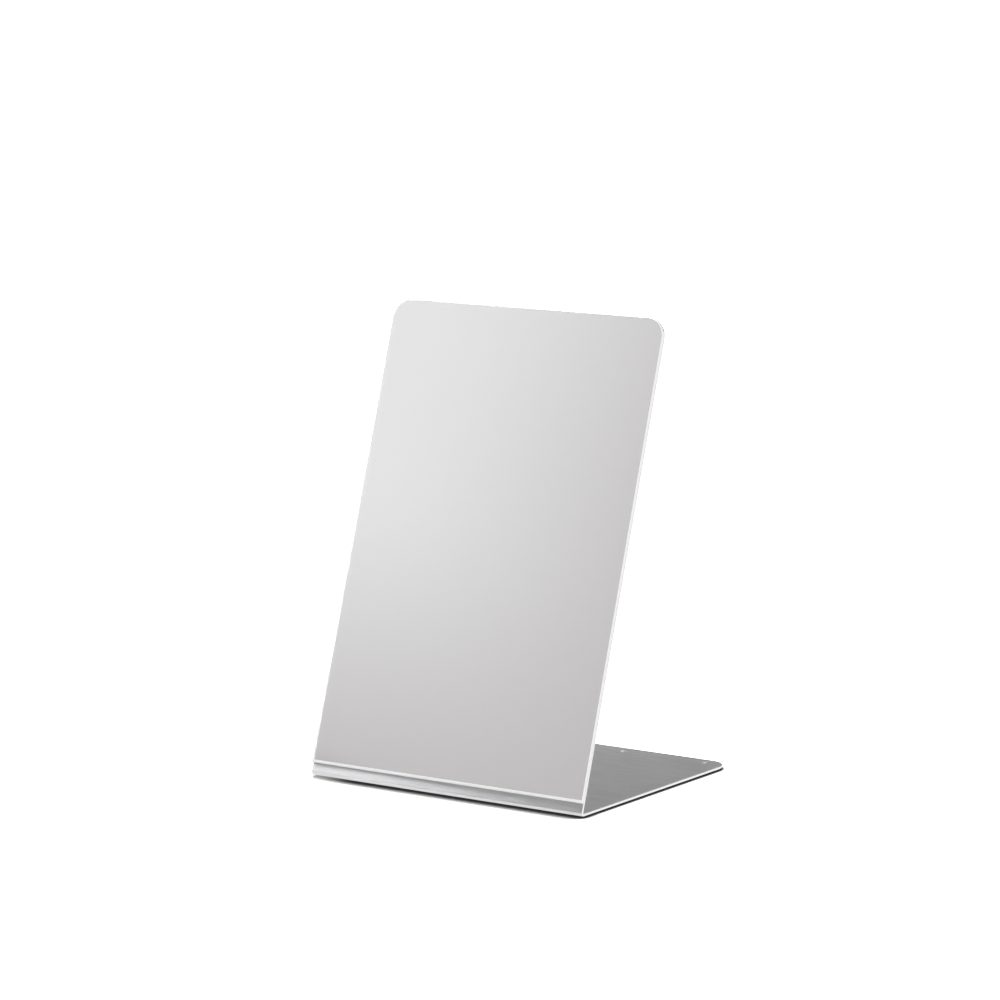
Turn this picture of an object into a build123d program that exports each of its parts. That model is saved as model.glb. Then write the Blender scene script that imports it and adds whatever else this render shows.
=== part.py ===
from build123d import *
from math import radians, tan
import os

# Countertop mirror for an optician's counter: one aluminium sheet, bent once into a base
# plate and a leaning leaf, with a flat mirror taped over the leaf and feet under the base.
# +X runs to the right and +Y to the back, as seen by a person who looks into the mirror.
# The origin is on the counter, below the middle of the base. Millimetres and degrees.

# Stand sheet
width = 200.0                   # of the base, the leaf and the mirror
base_depth = 165.0              # from the front of the bend to the back edge
leaf_length = 300.0             # from the apex line, where the outer faces would meet
lean_angle = 18.0               # of the leaf, back from the vertical
sheet_thickness = 1.5
bend_inner_radius = 0.5
leaf_corner_radius = 12.0       # of the leaf and the mirror, at the top
base_corner_radius = 13.0       # of the base, at the back
edge_break = 0.2                # bevel along the polished cut edges

# Mirror
bare_strip = 8.0                # of the leaf left bare below the mirror, from the apex line
glass_thickness = 2.0
glass_arris = 0.2               # radius of the pane's front edge, at the sides and the top
glass_foot_flat = 0.2           # of the pane's lower edge, left square behind its rounded front
silvering_clearance = 0.02      # keeps the coat's face apart from the back of the pane
silvering_thickness = 0.05
paint_thickness = 0.05

# Mounting tape
tape_count = 4
tape_width = 25.0
tape_thickness = 0.15
tape_end_clearance = 10.0       # from the tape to the mirror's outline, on every side

# Feet
foot_diameter = 12.0
foot_thickness = 1.0
foot_edge_radius = 0.3
foot_adhesive_thickness = 0.2
foot_adhesive_margin = 0.5      # how far the adhesive stays inside the foot's rim
foot_side_clearance = 10.0      # from the foot's rim to the side edges of the base
foot_front_clearance = 8.0      # from the foot's rim to the front of the bend

# Fixing holes near the back edge of the base
fixing_hole_diameter = 5.5
fixing_hole_edge_distance = 7.5  # from the holes' centres to the back edge
outer_hole_side_distance = 13.5  # from the outer holes' centres to the side edges
inner_hole_spacing = 52.0
screw_head_clearance = 4.0      # between the rims of a back foot and a hole

# Heights above the counter
base_underside = foot_thickness + foot_adhesive_thickness
base_top = base_underside + sheet_thickness

# The bend. Its tangent points lie bend_setback from the apex line.
leaf_to_base_angle = 90 - lean_angle
bend_outer_radius = bend_inner_radius + sheet_thickness
bend_setback = bend_outer_radius / tan(radians(leaf_to_base_angle / 2))

# Stations along Y
front_y = -base_depth / 2
back_y = base_depth / 2
apex_y = front_y - (bend_setback - bend_outer_radius)
fixing_hole_y = back_y - fixing_hole_edge_distance
outer_hole_spacing = width - 2 * outer_hole_side_distance

# The leaf's front face: X across, Y up the leaf from the apex line, Z out of the face
leaf_face = Plane(origin=(0, apex_y, base_underside), x_dir=(1, 0, 0)).rotated(
    (leaf_to_base_angle, 0, 0)
)
leaf_top = leaf_face.from_local_coords((0, leaf_length, 0))
across_leaf = Axis(leaf_face.origin, leaf_face.z_dir)

# Layers in front of the leaf, as distances from its face
tape_front = tape_thickness
paint_front = tape_front + paint_thickness
silvering_front = paint_front + silvering_thickness
glass_back = silvering_front + silvering_clearance
glass_foot_radius = glass_thickness - glass_foot_flat
mirror_height = leaf_length - bare_strip

foot_radius = foot_diameter / 2
foot_x = width / 2 - foot_side_clearance - foot_radius
foot_front_y = front_y + foot_front_clearance + foot_radius
foot_back_y = fixing_hole_y - fixing_hole_diameter / 2 - screw_head_clearance - foot_radius

os.makedirs("parts", exist_ok=True)


def hand_over(piece, name):
    """Label a finished piece and write it to its own file."""
    piece.part.label = name
    export_step(piece.part, f"parts/{name}.step")


# --- Stand sheet ---------------------------------------------------------------------------

with BuildPart() as stand_sheet:
    with BuildSketch(Plane.YZ):
        with BuildLine():
            FilletPolyline(
                (back_y, base_underside),
                (apex_y, base_underside),
                (leaf_top.Y, leaf_top.Z),
                radius=bend_outer_radius,
            )
            offset(amount=sheet_thickness, side=Side.RIGHT)
        make_face()
    extrude(amount=width / 2, both=True)

    fillet(edges().filter_by(across_leaf), radius=leaf_corner_radius)
    fillet(edges().filter_by(Axis.Z), radius=base_corner_radius)

    # Every edge round the outline of the blank is broken, on both faces of the sheet.
    edges_across_sheet = edges().filter_by(across_leaf) + edges().filter_by(Axis.Z)
    bend_lines = edges().filter_by(Axis.X).sort_by_distance(leaf_face.origin)[:4]
    outline_edges = edges() - edges_across_sheet - bend_lines
    chamfer(outline_edges, length=edge_break)

    # Fixing holes, an outer and an inner pair
    with Locations((0, fixing_hole_y, base_top)):
        for spacing in (outer_hole_spacing, inner_hole_spacing):
            with GridLocations(spacing, 0, 2, 1):
                Hole(fixing_hole_diameter / 2, depth=sheet_thickness)

hand_over(stand_sheet, "stand_sheet")


# --- Mirror --------------------------------------------------------------------------------

def mirror_outline():
    """Draw the outline that all layers of the mirror share in the sketch that is open."""
    with Locations((0, bare_strip)):
        Rectangle(width, mirror_height, align=(Align.CENTER, Align.MIN))
    fillet(vertices().group_by(Axis.Y)[-1], radius=leaf_corner_radius)


with BuildPart() as mirror_backing_paint:
    with BuildSketch(leaf_face.offset(tape_front)):
        mirror_outline()
    extrude(amount=paint_thickness)

hand_over(mirror_backing_paint, "mirror_backing_paint")

with BuildPart() as mirror_silvering:
    with BuildSketch(leaf_face.offset(paint_front)):
        mirror_outline()
    extrude(amount=silvering_thickness)

hand_over(mirror_silvering, "mirror_silvering")

with BuildPart() as mirror_glass:
    with BuildSketch(leaf_face.offset(glass_back)):
        mirror_outline()
    extrude(amount=glass_thickness)
    front_edges = faces().sort_by(across_leaf)[-1].edges().sort_by(Axis.Z)
    fillet(front_edges[0], radius=glass_foot_radius)
    front_edges = faces().sort_by(across_leaf)[-1].edges().sort_by(Axis.Z)
    fillet(front_edges[1:], radius=glass_arris)

hand_over(mirror_glass, "mirror_glass")


# --- Mounting tape, upright strips side by side --------------------------------------------

tape_pitch = (width - 2 * tape_end_clearance - tape_width) / (tape_count - 1)

for strip in range(tape_count):
    strip_x = (strip - (tape_count - 1) / 2) * tape_pitch
    with BuildPart() as mounting_tape:
        with BuildSketch(leaf_face):
            with Locations((strip_x, bare_strip + mirror_height / 2)):
                Rectangle(tape_width, mirror_height - 2 * tape_end_clearance)
        extrude(amount=tape_thickness)
    hand_over(mounting_tape, f"mounting_tape_{strip + 1}")


# --- Feet, each with its adhesive disc -----------------------------------------------------

foot_places = {
    "front_left": (-foot_x, foot_front_y),
    "front_right": (foot_x, foot_front_y),
    "back_left": (-foot_x, foot_back_y),
    "back_right": (foot_x, foot_back_y),
}

for place, centre in foot_places.items():
    with BuildPart() as foot:
        with BuildSketch():
            with Locations(centre):
                Circle(foot_radius)
        extrude(amount=foot_thickness)
        fillet(faces().sort_by(Axis.Z)[0].edges(), radius=foot_edge_radius)
    hand_over(foot, f"foot_{place}")

    with BuildPart() as foot_adhesive:
        with BuildSketch(Plane.XY.offset(foot_thickness)):
            with Locations(centre):
                Circle(foot_radius - foot_adhesive_margin)
        extrude(amount=foot_adhesive_thickness)
    hand_over(foot_adhesive, f"foot_adhesive_{place}")
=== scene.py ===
from math import cos, radians, sin

import bpy
from mathutils import Matrix, Quaternion, Vector


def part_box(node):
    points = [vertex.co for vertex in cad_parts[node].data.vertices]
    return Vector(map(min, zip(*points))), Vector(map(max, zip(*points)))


# Countertop mirror: a bent aluminium sheet with a pane on its leaf. Every visible shape is one of
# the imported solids. This script gives them their materials and adds floor, panels and camera.
# Metres; +X to the right, +Y to the back, +Z up, with the counter at Z = 0.

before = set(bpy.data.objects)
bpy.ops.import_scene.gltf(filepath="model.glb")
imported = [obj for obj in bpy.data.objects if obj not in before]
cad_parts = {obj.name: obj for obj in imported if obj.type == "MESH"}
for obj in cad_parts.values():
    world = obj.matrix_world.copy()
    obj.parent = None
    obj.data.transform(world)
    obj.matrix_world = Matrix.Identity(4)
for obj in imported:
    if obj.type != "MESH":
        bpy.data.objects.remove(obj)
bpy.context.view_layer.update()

MM = 0.001
RIGHT, BACK, UP = (1, 0, 0), (0, 1, 0), (0, 0, 1)

sheet_low, sheet_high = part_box("stand_sheet")

LEAN = radians(18)                       # of the leaf, back from the vertical
OUT_OF_LEAF = Vector((0, -cos(LEAN), sin(LEAN)))


# ------------------------------------------------------------------------------ node helpers

class Nodes:
    """A short way to write a node tree: add a node, set its inputs, link its outputs."""

    def __init__(self, tree):
        self.tree = tree
        tree.nodes.clear()

    def add(self, kind, settings=None, **inputs):
        node = self.tree.nodes.new(kind)
        for name, value in (settings or {}).items():
            setattr(node, name, value)
        for name, value in inputs.items():
            self.put(node.inputs[name.replace("_", " ")], value)
        return node

    def put(self, socket, value):
        """Link the socket to another node's output, or give it a plain value."""
        if isinstance(value, bpy.types.NodeSocket):
            self.tree.links.new(value, socket)
        else:
            socket.default_value = value

    def math(self, operation, *values):
        node = self.add("ShaderNodeMath", {"operation": operation})
        for socket, value in zip(node.inputs, values):
            self.put(socket, value)
        return node.outputs[0]

    def dot(self, vector, direction):
        node = self.add("ShaderNodeVectorMath", {"operation": "DOT_PRODUCT"})
        self.put(node.inputs[0], vector)
        self.put(node.inputs[1], direction)
        return node.outputs["Value"]

    def ramp(self, value, start, end, at_start, at_end, kind="SMOOTHSTEP"):
        """at_start up to start, at_end from end on, and a smooth or linear change between."""
        node = self.add("ShaderNodeMapRange", {"interpolation_type": kind})
        for name, number in zip(("Value", "From Min", "From Max", "To Min", "To Max"),
                                (value, start, end, at_start, at_end)):
            self.put(node.inputs[name], number)
        return node.outputs["Result"]

    def mix(self, factor, first, second):
        """Blend two colours."""
        node = self.add("ShaderNodeMix", {"data_type": "RGBA"})
        self.put(node.inputs["Factor"], factor)
        self.put(node.inputs[6], first)
        self.put(node.inputs[7], second)
        return node.outputs[2]

    def blend(self, factor, first, second):
        """Blend two numbers."""
        node = self.add("ShaderNodeMix")
        for name, value in (("Factor", factor), ("A", first), ("B", second)):
            self.put(node.inputs[name], value)
        return node.outputs["Result"]

    def mix_shaders(self, factor, first, second):
        node = self.add("ShaderNodeMixShader", Fac=factor)
        self.put(node.inputs[1], first.outputs[0])
        self.put(node.inputs[2], second.outputs[0])
        return node.outputs[0]

    def noise(self, vector, per_metre, detail=2.0, roughness=0.5):
        """Noise with so many features per metre along X, Y and Z."""
        scaled = self.add("ShaderNodeVectorMath", {"operation": "MULTIPLY"})
        self.put(scaled.inputs[0], vector)
        self.put(scaled.inputs[1], per_metre)
        node = self.add("ShaderNodeTexNoise", Vector=scaled.outputs[0], Scale=1.0,
                        Detail=detail, Roughness=roughness)
        return node.outputs["Fac"]

    def seen_in_metal(self, path):
        """1 where a reflection or a refraction looks at this surface."""
        return self.math("MAXIMUM", path.outputs["Is Glossy Ray"],
                         path.outputs["Is Transmission Ray"])


def grey(value):
    return (value, value, value, 1.0)


def new_material(name):
    material = bpy.data.materials.new(name)
    material.use_nodes = True
    return material, Nodes(material.node_tree)


def finish_material(nodes, surface):
    output = nodes.add("ShaderNodeOutputMaterial")
    nodes.put(output.inputs["Surface"], surface)


def dress(material, *node_names):
    for name in node_names:
        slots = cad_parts[name].data.materials
        slots.clear()
        slots.append(material)


# ------------------------------------------------------------------------- brushed aluminium

bend_depth = 6 * MM                      # a zone at the front of the sheet that holds the bend
bend_height = 8 * MM
wall_margin = 1 * MM                     # a wall that lies deeper than this isn't in the outline
corner_reach = 15.5 * MM                 # X and Y added: past a rounded corner, before a hole
face_cosine = 0.8                        # a face's normal is this close to the base's or leaf's
side_cosine = 0.5                        # a side edge's normal is this close to +X or -X

brushed_dark, brushed_light = 0.50, 0.61
brushed_dull, brushed_shiny = 0.35, 0.28  # as roughness
# grey of the highlight painted along the bend
painted_bend_grey = 0.78
polished_edge, polished_roughness = 0.93, 0.18
hole_polish = 0.4                        # of the polish on the other cut edges


def cut_edges(nodes, place, normal, out_of_leaf, in_bend):
    """How polished the sheet is: 1 on its cut edges, less in the holes, 0 on its faces."""
    out_of_base = nodes.math("ABSOLUTE", nodes.dot(normal, UP))
    sideways = nodes.math("ABSOLUTE", nodes.dot(normal, RIGHT))
    across = nodes.math("LESS_THAN", nodes.math("MAXIMUM", out_of_base, out_of_leaf), face_cosine)
    flat_across = nodes.math("MULTIPLY", across, nodes.math("SUBTRACT", 1.0, in_bend))
    cut = nodes.math("MAXIMUM", flat_across, nodes.math("GREATER_THAN", sideways, side_cosine))

    # The holes' walls lie inside the outline and its rounded back corners
    aside = nodes.math("ABSOLUTE", nodes.dot(place, RIGHT))
    behind = nodes.dot(place, BACK)
    to_corner = nodes.math("SUBTRACT", sheet_high.x + sheet_high.y,
                           nodes.math("ADD", aside, behind))
    within = nodes.math("MULTIPLY", nodes.math("LESS_THAN", aside, sheet_high.x - wall_margin),
                        nodes.math("LESS_THAN", behind, sheet_high.y - wall_margin))
    in_hole = nodes.math("MULTIPLY", nodes.math("GREATER_THAN", to_corner, corner_reach), within)
    return nodes.math("MULTIPLY", cut, nodes.blend(in_hole, 1.0, hole_polish))


def aluminium():
    """Brushed faces, a painted highlight along the bend and polished cut edges."""
    material, nodes = new_material("brushed_aluminium")
    coords = nodes.add("ShaderNodeTexCoord")
    place, normal = coords.outputs["Object"], coords.outputs["Normal"]

    out_of_leaf = nodes.math("ABSOLUTE", nodes.dot(normal, OUT_OF_LEAF))
    from_front = nodes.math("SUBTRACT", nodes.dot(place, BACK), sheet_low.y)
    in_bend = nodes.math("MULTIPLY", nodes.math("LESS_THAN", from_front, bend_depth),
                         nodes.math("LESS_THAN", nodes.dot(place, UP), bend_height))
    cut = cut_edges(nodes, place, normal, out_of_leaf, in_bend)

    # Brushing runs across the width: long thin streaks, with a coarser mottle under them
    fine = nodes.noise(place, (50, 3200, 3200), detail=3.0, roughness=0.6)
    streaks = nodes.noise(place, (30, 700, 700))
    mottle = nodes.noise(place, (40, 160, 160), detail=3.0)
    grain = nodes.math("ADD", nodes.math("MULTIPLY", fine, 0.5),
                       nodes.math("MULTIPLY", streaks, 0.5))

    shade = nodes.ramp(grain, 0.35, 0.65, brushed_dark, brushed_light, "LINEAR")
    shade = nodes.math("MULTIPLY", shade, nodes.ramp(mottle, 0.3, 0.7, 0.96, 1.04, "LINEAR"))
    brushed = nodes.add("ShaderNodeCombineColor", Red=shade, Green=shade,
                        Blue=nodes.math("MULTIPLY", shade, 1.02))

    # The bend is painted paler where it has turned away from the leaf: a painted highlight
    rounded = nodes.math("MULTIPLY", in_bend, nodes.ramp(out_of_leaf, 0.93, 0.999, 1, 0))
    with_bend_highlight = nodes.mix(rounded, brushed.outputs[0], grey(painted_bend_grey))
    colour = nodes.mix(cut, with_bend_highlight, grey(polished_edge))
    satin = nodes.ramp(grain, 0.3, 0.7, brushed_dull, brushed_shiny, "LINEAR")
    roughness = nodes.mix(cut, satin, grey(polished_roughness))
    bump = nodes.add("ShaderNodeBump", Strength=0.25, Distance=0.02 * MM,
                     Height=nodes.math("MULTIPLY", grain, nodes.math("SUBTRACT", 1.0, cut)))

    # The highlight stretches across the brushing, on the base and on the leaf alike
    across_brushing = nodes.add("ShaderNodeCombineXYZ", Y=0.8, Z=0.6)
    shader = nodes.add("ShaderNodeBsdfPrincipled", Base_Color=colour, Metallic=1.0,
                       Roughness=roughness, Normal=bump.outputs[0], Anisotropic=0.95,
                       Tangent=across_brushing.outputs[0])
    finish_material(nodes, shader.outputs[0])
    return material


# -------------------------------------------------------------------------------- the mirror

def clear_glass():
    """Polished front and back, and ground edges that look white from both sides."""
    polished_cosine = 0.999              # a polished face's normal is this close to the leaf's
    ground_white = 0.93

    material, nodes = new_material("clear_glass")
    coords = nodes.add("ShaderNodeTexCoord")
    outward = nodes.math("ABSOLUTE", nodes.dot(coords.outputs["Normal"], OUT_OF_LEAF))
    ground = nodes.math("LESS_THAN", outward, polished_cosine)
    grind = nodes.noise(coords.outputs["Object"], (3000, 3000, 3000), detail=1.0)
    satin = nodes.math("MULTIPLY", ground, nodes.ramp(grind, 0.3, 0.7, 0.45, 0.6, "LINEAR"))
    glass = nodes.add("ShaderNodeBsdfPrincipled", IOR=1.52, Roughness=satin,
                      Base_Color=nodes.mix(ground, (0.994, 0.997, 0.996, 1), grey(ground_white)),
                      Transmission_Weight=nodes.math("SUBTRACT", 1.0, ground))
    from_behind = nodes.add("ShaderNodeBsdfTranslucent", Color=grey(ground_white))
    inside = nodes.add("ShaderNodeNewGeometry").outputs["Backfacing"]
    ground_inside = nodes.math("MULTIPLY", ground, inside)
    finish_material(nodes, nodes.mix_shaders(ground_inside, glass, from_behind))
    return material


def silvering():
    material, nodes = new_material("silvering")
    coords = nodes.add("ShaderNodeTexCoord")
    haze = nodes.noise(coords.outputs["Object"], (9, 9, 9))
    tint = nodes.mix(haze, (0.93, 0.925, 0.925, 1), (0.945, 0.94, 0.94, 1))
    shader = nodes.add("ShaderNodeBsdfPrincipled", Base_Color=tint, Metallic=1.0, Roughness=0.0)
    finish_material(nodes, shader.outputs[0])
    return material


# ------------------------------------------------------------------ paint, tape and the feet

def speckled(name, dark, light, roughness, per_metre, bump_height):
    """A matt finish whose colour wanders a little between two tones."""
    material, nodes = new_material(name)
    coords = nodes.add("ShaderNodeTexCoord")
    speckle = nodes.noise(coords.outputs["Object"], (per_metre,) * 3, detail=4.0, roughness=0.7)
    bump = nodes.add("ShaderNodeBump", Strength=0.4, Distance=bump_height, Height=speckle)
    dullness = nodes.ramp(speckle, 0.3, 0.7, roughness, roughness + 0.1, "LINEAR")
    shader = nodes.add("ShaderNodeBsdfPrincipled", Normal=bump.outputs[0],
                       Base_Color=nodes.mix(speckle, dark, light), Roughness=dullness)
    finish_material(nodes, shader.outputs[0])
    return material


def backing_paint():
    return speckled("backing_paint", dark=(0.05, 0.055, 0.06, 1), light=(0.07, 0.075, 0.08, 1),
                    roughness=0.5, per_metre=400, bump_height=0.01 * MM)


def mounting_tape():
    return speckled("mounting_tape", dark=(0.7, 0.7, 0.68, 1), light=(0.8, 0.8, 0.78, 1),
                    roughness=0.6, per_metre=300, bump_height=0.01 * MM)


def foot_rubber():
    return speckled("foot_rubber", dark=(0.012, 0.012, 0.013, 1), light=(0.03, 0.03, 0.03, 1),
                    roughness=0.7, per_metre=1500, bump_height=0.05 * MM)


def foot_adhesive():
    return speckled("foot_adhesive", dark=(0.55, 0.54, 0.5, 1), light=(0.7, 0.69, 0.65, 1),
                    roughness=0.4, per_metre=500, bump_height=0.01 * MM)


# ------------------------------------------------------------------------------------ studio

def studio_world():
    """White behind the object; metal and glass see a ceiling that is bright over the front only."""
    horizon, front_ceiling, back_ceiling = 0.95, 0.98, 0.50
    world = bpy.data.worlds.new("studio")
    bpy.context.scene.world = world
    world.use_nodes = True
    world.cycles.sampling_method = "NONE"
    nodes = Nodes(world.node_tree)
    direction = nodes.add("ShaderNodeTexCoord").outputs["Generated"]
    height = nodes.dot(direction, UP)
    overhead = nodes.ramp(nodes.dot(direction, BACK), -0.8, 0.0, front_ceiling, back_ceiling)
    ceiling = nodes.ramp(height, 0.0, 0.4, horizon, overhead)
    path = nodes.add("ShaderNodeLightPath")
    level = nodes.blend(nodes.seen_in_metal(path), 1.0, ceiling)
    background = nodes.add("ShaderNodeBackground", Color=grey(1.0), Strength=level)
    output = nodes.add("ShaderNodeOutputWorld")
    nodes.put(output.inputs["Surface"], background.outputs[0])


def flat_stage(name, low, high):
    """A rectangle in its own XY plane."""
    mesh = bpy.data.meshes.new(name)
    (left, bottom), (right, top) = low, high
    corners = [(left, bottom, 0), (right, bottom, 0), (right, top, 0), (left, top, 0)]
    mesh.from_pydata(corners, [], [(0, 1, 2, 3)])
    plane = bpy.data.objects.new(name, mesh)
    bpy.context.scene.collection.objects.link(plane)
    return plane


def floor():
    """White, with a shadow where the object stands close above it."""
    half_width = 20
    white = 0.95                         # for the light that the object gets from the floor
    contact_distance = 15 * MM           # how far over the floor something still shades it
    contact_power = 6.0                  # draws the contact shadow together under the edges
    open_enough = 0.44                   # share of open sky from which on the floor is clear
    clear_white = 2.4                    # over 1, so that the open floor is as white as the world
    fade = 30 * MM                       # from the left edge of the sheet to the full shadow
    left_shade, full_shade = 0.6, 0.05

    plane = flat_stage("floor", (-half_width, -half_width), (half_width, half_width))
    material, nodes = new_material("floor")
    path = nodes.add("ShaderNodeLightPath")
    near = nodes.add("ShaderNodeAmbientOcclusion", {"samples": 16}, Distance=contact_distance)
    open_sky = nodes.math("POWER", near.outputs["AO"], contact_power)
    place = nodes.add("ShaderNodeTexCoord").outputs["Object"]
    deepest = nodes.ramp(nodes.dot(place, RIGHT), sheet_low.x, sheet_low.x + fade,
                         left_shade, full_shade)
    contact = nodes.ramp(open_sky, 0.0, open_enough, deepest, clear_white, "LINEAR")
    level = nodes.blend(path.outputs["Is Camera Ray"], white, contact)
    colour = nodes.add("ShaderNodeCombineColor", Red=level, Green=level, Blue=level)
    lit = nodes.add("ShaderNodeBsdfDiffuse", Color=colour.outputs[0])
    glowing = nodes.add("ShaderNodeEmission", Color=grey(1.0))
    finish_material(nodes, nodes.mix_shaders(nodes.seen_in_metal(path), lit, glowing))
    plane.data.materials.append(material)


def panel(name, aim, facing, distance, low, high):
    """A glowing rectangle that only glass and metal see, at a distance from what it faces."""
    centre = aim - facing * distance
    facing = facing.normalized()
    across = Vector(UP).cross(facing).normalized()
    upward = facing.cross(across)
    plane = flat_stage(name, low, high)
    turn = Matrix((across, upward, facing)).transposed()
    plane.matrix_world = Matrix.Translation(centre) @ turn.to_4x4()
    plane.visible_camera = False
    plane.visible_diffuse = False
    plane.visible_shadow = False
    material, nodes = new_material(name)
    material.cycles.emission_sampling = "NONE"
    plane.data.materials.append(material)
    return nodes


def finish_panel(nodes, colour, level, cover):
    """The panel glows as far as it covers, and is clear elsewhere."""
    light = nodes.add("ShaderNodeEmission", Color=colour, Strength=level)
    clear = nodes.add("ShaderNodeBsdfTransparent")
    finish_material(nodes, nodes.mix_shaders(cover, clear, light))


def softbox():
    """The glow in the mirror, which falls off to the right and downwards."""
    mirror_middle = Vector((0, -0.037, 0.149))
    facing, distance = Vector((0.565, 0.750, -0.344)), 0.8
    dim, bright, outside = 0.527, 0.85, 0.075
    dim_tint = (1.025, 0.995, 1.005, 1)

    nodes = panel("softbox", mirror_middle, facing, distance, (-0.9, -0.42), (0.9, 0.9))
    place = nodes.add("ShaderNodeTexCoord").outputs["Object"]
    x, y = nodes.dot(place, RIGHT), nodes.dot(place, BACK)
    glow = nodes.math("MULTIPLY", nodes.ramp(x, -0.231, 0.127, 0, 1),
                      nodes.ramp(y, -0.298, 0.023, 0, 1))
    colour = nodes.mix(glow, dim_tint, grey(1.0))

    # Above and below the band that the mirror shows, the panel is nearly dark
    past_band = nodes.ramp(nodes.math("ABSOLUTE", y), 0.20, 0.27, 0, 1)
    level = nodes.blend(past_band, nodes.ramp(glow, 0, 1, dim, bright, "LINEAR"), outside)

    # It fades out towards its sides, its top and its foot
    aside = nodes.math("ABSOLUTE", x)
    above = nodes.math("ABSOLUTE", nodes.math("SUBTRACT", y, 0.1))
    cover = nodes.math("MULTIPLY", nodes.ramp(aside, 0.27, 0.4, 1, 0),
                       nodes.ramp(above, 0.4, 0.8, 1, 0))
    finish_panel(nodes, colour, level, cover)


def key_light():
    """A bright panel high on the left. The brushing spreads its light down the bare strip.

    Polished faces don't show it, so the mirror keeps the soft glow alone.
    """
    bend = Vector((0.004, -0.083, 0.005))
    turn = radians(-67)                  # about X, from the front horizon up to the panel
    rightward, onward = 0.577, 0.8165    # shares of the way that the light takes
    facing = Vector((rightward, onward * cos(turn), onward * sin(turn)))
    distance, reach, half_height, level = 0.42, 0.327, 0.096, 16.2

    # It lies to one side of its aim, so its light fades towards the right end of the strip
    nodes = panel("key_light", bend, facing, distance, (0, -half_height), (reach, half_height))
    polished = nodes.add("ShaderNodeLightPath").outputs["Is Singular Ray"]
    finish_panel(nodes, grey(1.0), level, nodes.math("SUBTRACT", 1.0, polished))


def flag():
    """A dull panel beside the leaf, in its plane. It keeps the key light off the base behind."""
    beside_bend = Vector((sheet_low.x, sheet_low.y, 0))
    clearance = 1 * MM
    nodes = panel("flag", beside_bend, OUT_OF_LEAF, distance=0,
                  low=(-0.5, -0.1), high=(-clearance, 0.6))
    finish_panel(nodes, grey(1.0), level=0.6, cover=1.0)


# ------------------------------------------------------------------------------------ camera

def camera():
    """The photograph's viewpoint: a long lens, to the right of the mirror and a little above."""
    azimuth, elevation, roll = radians(34.93), radians(9.375), radians(-0.275)
    distance = 2.7010
    target = Vector((-0.0101, -0.0076, 0.1702))
    back = Vector((sin(azimuth) * cos(elevation), -cos(azimuth) * cos(elevation), sin(elevation)))
    data = bpy.data.cameras.new("camera")
    data.sensor_width = 36.0
    data.lens = 159.26
    data.clip_start, data.clip_end = 0.05, 100.0
    eye = bpy.data.objects.new("camera", data)
    bpy.context.scene.collection.objects.link(eye)
    eye.rotation_mode = "QUATERNION"
    eye.location = target + back * distance
    eye.rotation_quaternion = Quaternion(back, roll) @ (-back).to_track_quat("-Z", "Y")
    bpy.context.scene.camera = eye


camera()
studio_world()
floor()
softbox()
key_light()
flag()

foot_places = ("front_left", "front_right", "back_left", "back_right")

dress(aluminium(), "stand_sheet")
dress(clear_glass(), "mirror_glass")
dress(silvering(), "mirror_silvering")
dress(backing_paint(), "mirror_backing_paint")
dress(mounting_tape(), *[f"mounting_tape_{strip}" for strip in range(1, 5)])
dress(foot_rubber(), *[f"foot_{place}" for place in foot_places])
dress(foot_adhesive(), *[f"foot_adhesive_{place}" for place in foot_places])

bpy.context.scene.view_settings.view_transform = "Standard"
